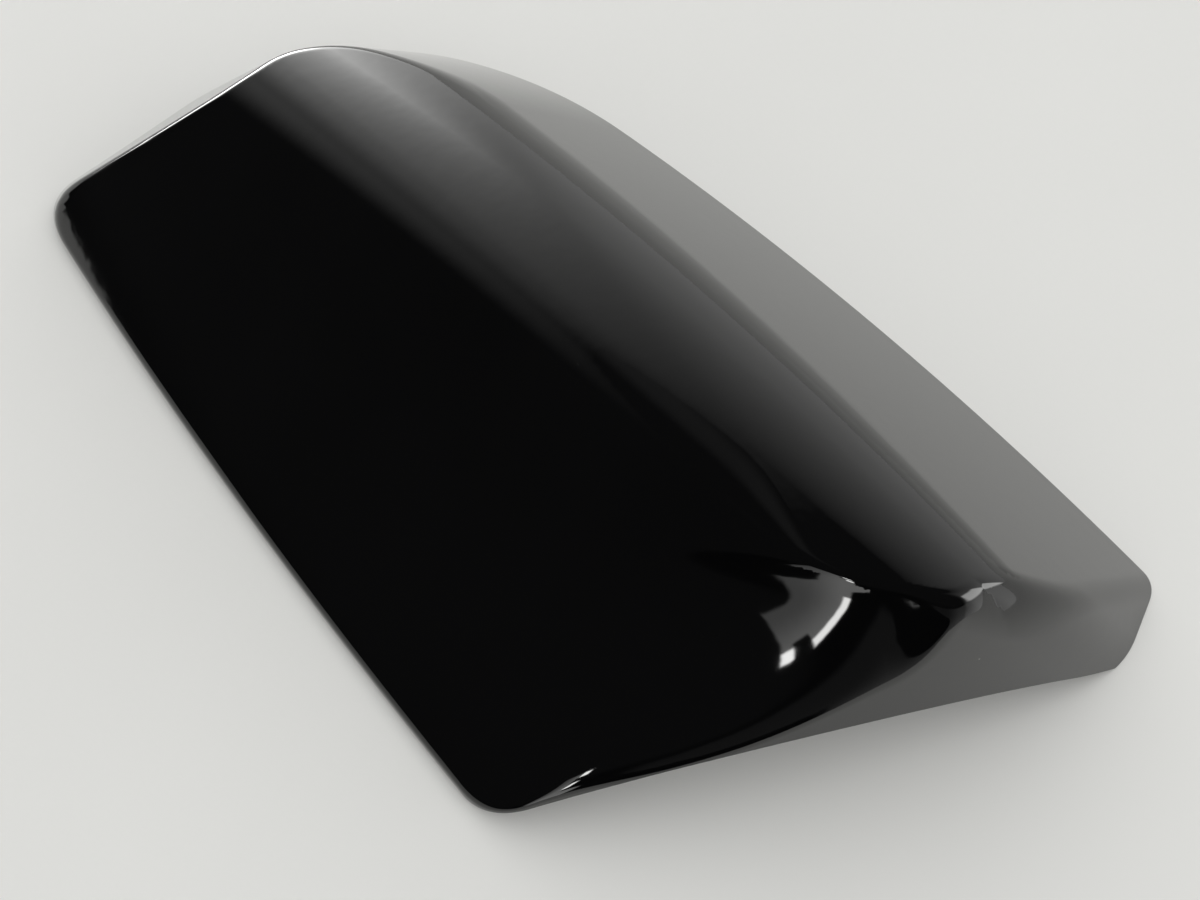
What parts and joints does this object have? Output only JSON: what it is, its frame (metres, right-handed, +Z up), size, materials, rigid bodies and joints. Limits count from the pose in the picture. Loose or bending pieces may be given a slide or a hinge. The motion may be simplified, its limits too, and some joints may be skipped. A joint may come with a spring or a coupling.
{
  "type": "wing mirror cover",
  "caption": "Gloss black moulded wing mirror cover: a hollow ridged shell, rounded at the outer end and arched at the inner, with snap hooks and locating pins inside.",
  "frame": {"origin": "centre of the bounding box in plan, on the plane of the rim that the cover lies on", "axes": "+X along the ridge to the arched inner end, +Y to the rear rim, +Z up from the rim to the ridge"},
  "size_m": [0.2464, 0.1374, 0.0563],
  "materials": {
    "gloss_black": "gloss"
  },
  "bodies": {
    "root": {"mirror_cover": "gloss_black"}
  },
  "joints": []
}
